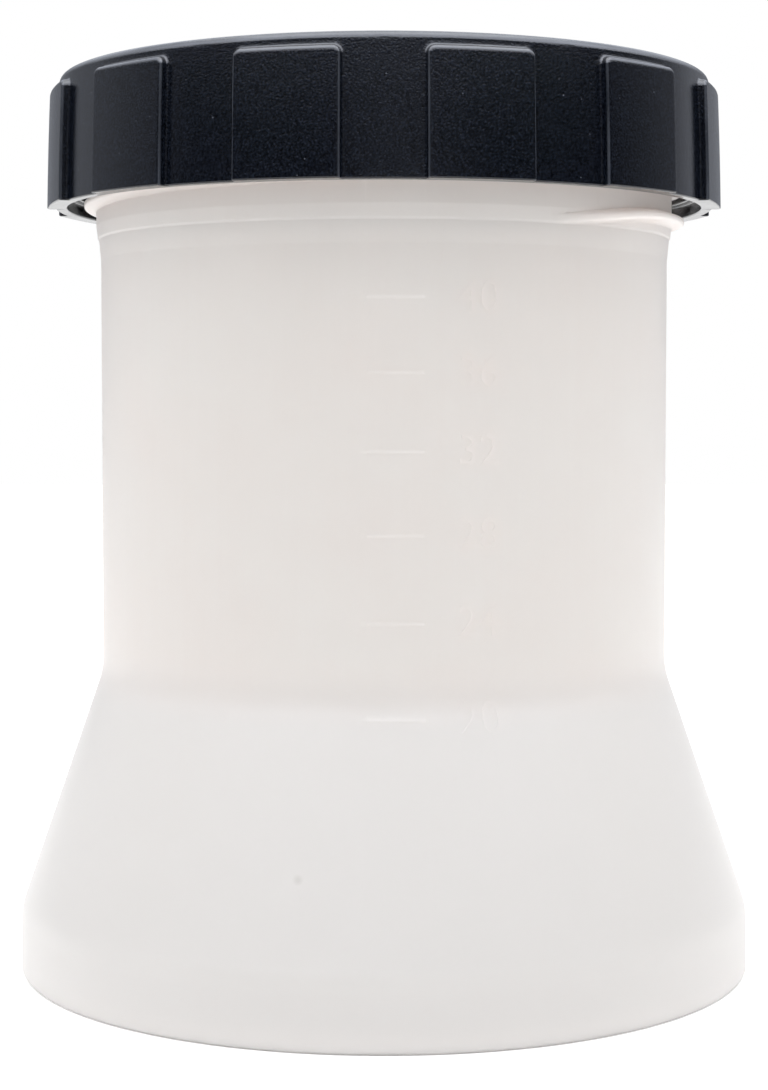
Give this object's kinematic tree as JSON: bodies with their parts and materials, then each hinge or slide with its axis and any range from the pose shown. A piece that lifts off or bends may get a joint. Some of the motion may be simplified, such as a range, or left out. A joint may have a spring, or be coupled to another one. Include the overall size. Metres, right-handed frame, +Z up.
{
  "type": "paint cup with lid",
  "caption": "Flared translucent paint cup with a wide screw neck, closed by a black screw lid with grip pads.",
  "frame": {"origin": "centre of the foot, on the surface that the cup stands on", "axes": "+Z up along the cup's axis, front with the fill scale towards -Y, +X to its right"},
  "size_m": [0.1372, 0.1372, 0.1671],
  "materials": {
    "cup_plastic": "natural translucent polyolefin, satin outside",
    "lid_plastic": "bluish black polypropylene, fine moulded grain, gloss on the underside",
    "liner_foam": "white foamed polyethylene"
  },
  "bodies": {
    "cup": {"cup": "cup_plastic"},
    "liner": {"liner": "liner_foam"},
    "lid": {"lid": "lid_plastic"}
  },
  "joints": [
    {"name": "lid_lift", "type": "slide", "parent": "cup", "child": "liner", "axis": [0, 0, 1], "range_m": [0, 0.0361]},
    {"name": "lid_turn", "type": "hinge", "parent": "liner", "child": "lid", "pos_m": [0, 0, 0.1545], "axis": [0, 0, 1], "range_deg": [0, 2160]}
  ],
  "couplings": [
    {"joint": "lid_lift", "follows": "lid_turn", "m_per_rad": 0.00095493}
  ]
}
